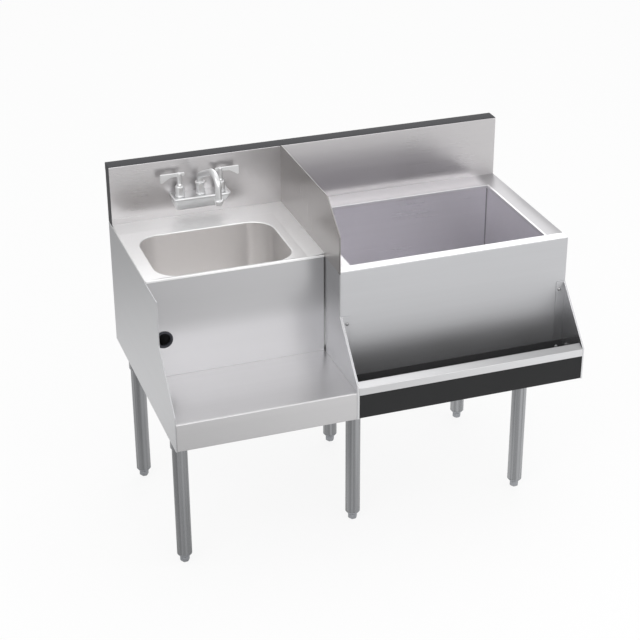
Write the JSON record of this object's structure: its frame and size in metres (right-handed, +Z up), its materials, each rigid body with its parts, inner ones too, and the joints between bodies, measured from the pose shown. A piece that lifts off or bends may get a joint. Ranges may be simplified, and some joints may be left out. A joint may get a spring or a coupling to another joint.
{
  "type": "bar sink with ice bin",
  "caption": "Underbar station: bar sink with drop shelf and faucet beside an insulated ice bin with speed rail, shared backsplash and splash divider, tubular legs with adjustable feet.",
  "frame": {"origin": "centre of the plan outline, on the floor", "axes": "+X along the width, to the right for someone facing the unit; +Y from the front to the wall; +Z up"},
  "size_m": [1.067, 0.62, 0.8869],
  "materials": {
    "stainless": "brushed stainless",
    "chrome": "polished chrome plate",
    "brass": "machined",
    "black_rubber": "moulded",
    "black_coated": "black satin coating",
    "foam": "rigid foam",
    "leg_tube": "satin tube",
    "foot_grey": "satin"
  },
  "bodies": {
    "unit": {"backsplash": "stainless", "back_panel": "stainless", "side_panel_left": "stainless", "side_panel_mid": "stainless", "side_panel_right": "stainless", "divider": "stainless", "sink_deck": "stainless", "sink_bowl": "stainless", "sink_drain": "chrome", "sink_drain_gasket": "black_rubber", "sink_drain_nut": "brass", "sink_slip_nut": "chrome", "sink_tailpiece": "chrome", "apron": "stainless", "cord_grommet": "black_rubber", "drop_shelf": "stainless", "leg_channels": "leg_tube", "bin_front": "stainless", "bin_rim": "stainless", "bin_liner": "stainless", "bin_insulation": "foam", "bin_bottom_pan": "stainless", "bin_drain": "chrome", "bin_drain_nut": "brass", "rail_end_left": "stainless", "rail_end_right": "stainless", "rail_trough": "black_coated", "rail_cap": "stainless", "rail_screws": "stainless", "faucet_body": "chrome", "faucet_shanks": "brass", "faucet_shank_nuts": "brass", "valve_bonnet_left": "chrome", "valve_bonnet_right": "chrome", "spout_nut": "chrome", "leg_front_left": "leg_tube", "leg_front_mid": "leg_tube", "leg_front_right": "leg_tube", "leg_back_left": "leg_tube", "leg_back_mid": "leg_tube", "leg_back_right": "leg_tube", "leg_sockets": "leg_tube", "leg_inserts": "foot_grey"},
    "handle_left_body": {"handle_left": "chrome", "valve_stem_left": "brass"},
    "handle_right_body": {"handle_right": "chrome", "valve_stem_right": "brass"},
    "spout_body": {"spout": "chrome", "aerator": "chrome"},
    "foot_front_left_body": {"foot_front_left": "foot_grey"},
    "foot_front_mid_body": {"foot_front_mid": "foot_grey"},
    "foot_front_right_body": {"foot_front_right": "foot_grey"},
    "foot_back_left_body": {"foot_back_left": "foot_grey"},
    "foot_back_mid_body": {"foot_back_mid": "foot_grey"},
    "foot_back_right_body": {"foot_back_right": "foot_grey"}
  },
  "joints": [
    {"name": "handle_left_turn", "type": "hinge", "parent": "unit", "child": "handle_left_body", "pos_m": [-0.3585, 0.24, 0.791], "axis": [0, 0, 1], "range_deg": [0, 90]},
    {"name": "handle_right_turn", "type": "hinge", "parent": "unit", "child": "handle_right_body", "pos_m": [-0.2505, 0.24, 0.791], "axis": [0, 0, 1], "range_deg": [-90, 0]},
    {"name": "spout_swivel", "type": "hinge", "parent": "unit", "child": "spout_body", "pos_m": [-0.3045, 0.24, 0.791], "axis": [0, 0, 1], "range_deg": [-76, 64]},
    {"name": "foot_front_left_slide", "type": "slide", "parent": "unit", "child": "foot_front_left_body", "axis": [0, 0, -1], "range_m": [0, 0.025]},
    {"name": "foot_front_mid_slide", "type": "slide", "parent": "unit", "child": "foot_front_mid_body", "axis": [0, 0, -1], "range_m": [0, 0.025]},
    {"name": "foot_front_right_slide", "type": "slide", "parent": "unit", "child": "foot_front_right_body", "axis": [0, 0, -1], "range_m": [0, 0.025]},
    {"name": "foot_back_left_slide", "type": "slide", "parent": "unit", "child": "foot_back_left_body", "axis": [0, 0, -1], "range_m": [0, 0.025]},
    {"name": "foot_back_mid_slide", "type": "slide", "parent": "unit", "child": "foot_back_mid_body", "axis": [0, 0, -1], "range_m": [0, 0.025]},
    {"name": "foot_back_right_slide", "type": "slide", "parent": "unit", "child": "foot_back_right_body", "axis": [0, 0, -1], "range_m": [0, 0.025]}
  ]
}
